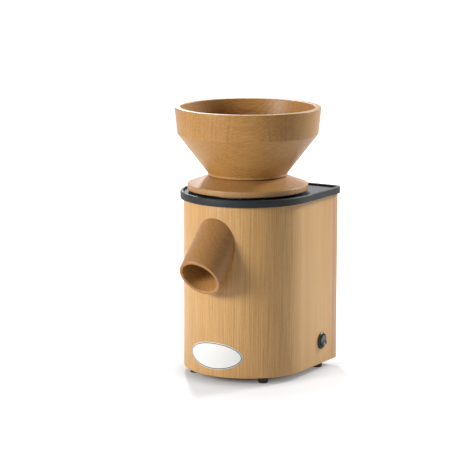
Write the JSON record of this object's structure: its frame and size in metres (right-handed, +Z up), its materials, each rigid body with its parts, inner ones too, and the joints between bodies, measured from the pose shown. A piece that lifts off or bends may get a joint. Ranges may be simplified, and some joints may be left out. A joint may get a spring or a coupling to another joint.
{
  "type": "electric grain mill",
  "caption": "Electric stone grain mill with a round-fronted wooden body, black top tray, turned wooden hopper on an adjusting disc, slanted flour spout and round rocker switch.",
  "frame": {"origin": "where the mill's axis (shaft, millstones and hopper) meets the table", "axes": "+Z up along the mill's axis; the spout points to -Y (front); the switch is on the +X side; the inlet faces +Y"},
  "size_m": [0.1946, 0.2365, 0.3597],
  "materials": {
    "body_wood": "oiled, satin",
    "back_wood": "oiled, satin",
    "base_board": "matt",
    "disc_wood": "oiled, satin",
    "hopper_wood": "oiled, satin",
    "spout_wood": "oiled, satin",
    "tray_black": "fine texture",
    "foot_rubber": "matt",
    "plate_white": "satin",
    "cast_aluminium": "cast, fine turned faces",
    "zinc_steel": "zinc plated",
    "bright_steel": "ground",
    "core_steel": "laminated, varnished",
    "copper": "enamelled wire",
    "contact_brass": "bright",
    "slide_plastic": "smooth",
    "fan_plastic": "moulded",
    "black_plastic": "satin",
    "rocker_plastic": "glossy",
    "seal_felt": "felt",
    "mill_stone": "coarse ceramic-bonded grit"
  },
  "bodies": {
    "housing": {"housing_shell": "body_wood", "back_panel": "back_wood", "base_plate": "base_board", "base_screws": "zinc_steel", "feet": "foot_rubber", "foot_screws": "zinc_steel", "top_tray": "tray_black", "corner_blocks": "back_wood", "tray_screws": "zinc_steel", "flour_spout": "spout_wood", "name_plate": "plate_white", "milling_chamber": "cast_aluminium", "chamber_cover": "cast_aluminium", "chamber_screws": "zinc_steel", "guide_pins": "bright_steel", "carrier_springs": "bright_steel", "glide_ring": "slide_plastic", "shaft_seal": "seal_felt", "upper_end_shield": "cast_aluminium", "lower_end_shield": "cast_aluminium", "stator_core": "core_steel", "stator_windings": "copper", "upper_bearing": "bright_steel", "lower_bearing": "bright_steel", "motor_bolts": "zinc_steel", "run_capacitor": "slide_plastic", "capacitor_clamp": "zinc_steel", "terminal_block": "slide_plastic", "power_inlet": "black_plastic", "inlet_pins": "contact_brass", "inlet_screws": "zinc_steel", "switch_barrel": "black_plastic", "switch_terminals": "contact_brass"},
    "rotor": {"motor_shaft": "bright_steel", "rotor_core": "core_steel", "cooling_fan": "fan_plastic", "stone_driver": "cast_aluminium", "lower_stone": "mill_stone", "clamp_washer": "zinc_steel", "stone_nut": "zinc_steel", "grain_feeder": "bright_steel"},
    "adjuster": {"adjusting_disc": "disc_wood", "threaded_sleeve": "fan_plastic", "sleeve_screws": "zinc_steel", "retaining_ring": "bright_steel"},
    "carrier": {"stone_carrier": "cast_aluminium", "upper_stone": "mill_stone", "stone_screws": "zinc_steel"},
    "hopper": {"hopper_bowl": "hopper_wood"},
    "rocker": {"switch_rocker": "rocker_plastic"}
  },
  "joints": [
    {"name": "mill_spin", "type": "hinge", "parent": "housing", "child": "rotor", "pos_m": [0, 0, 0.12], "axis": [0, 0, 1], "continuous": true},
    {"name": "fineness_turn", "type": "hinge", "parent": "housing", "child": "adjuster", "pos_m": [0, 0, 0.2447], "axis": [0, 0, 1], "range_deg": [-90, 180]},
    {"name": "stone_lift", "type": "slide", "parent": "housing", "child": "carrier", "axis": [0, 0, 1], "range_m": [-0.00105, 0.00205], "deforming": ["carrier_springs"]},
    {"name": "hopper_lift", "type": "slide", "parent": "adjuster", "child": "hopper", "axis": [0, 0, 1], "range_m": [0, 0.08]},
    {"name": "rocker_tilt", "type": "hinge", "parent": "housing", "child": "rocker", "pos_m": [0.0863, 0.0529, 0.0409], "axis": [0, 1, 0], "range_deg": [0, 18]}
  ],
  "couplings": [
    {"joint": "stone_lift", "follows": "fineness_turn", "m_per_rad": 0.00063662}
  ]
}
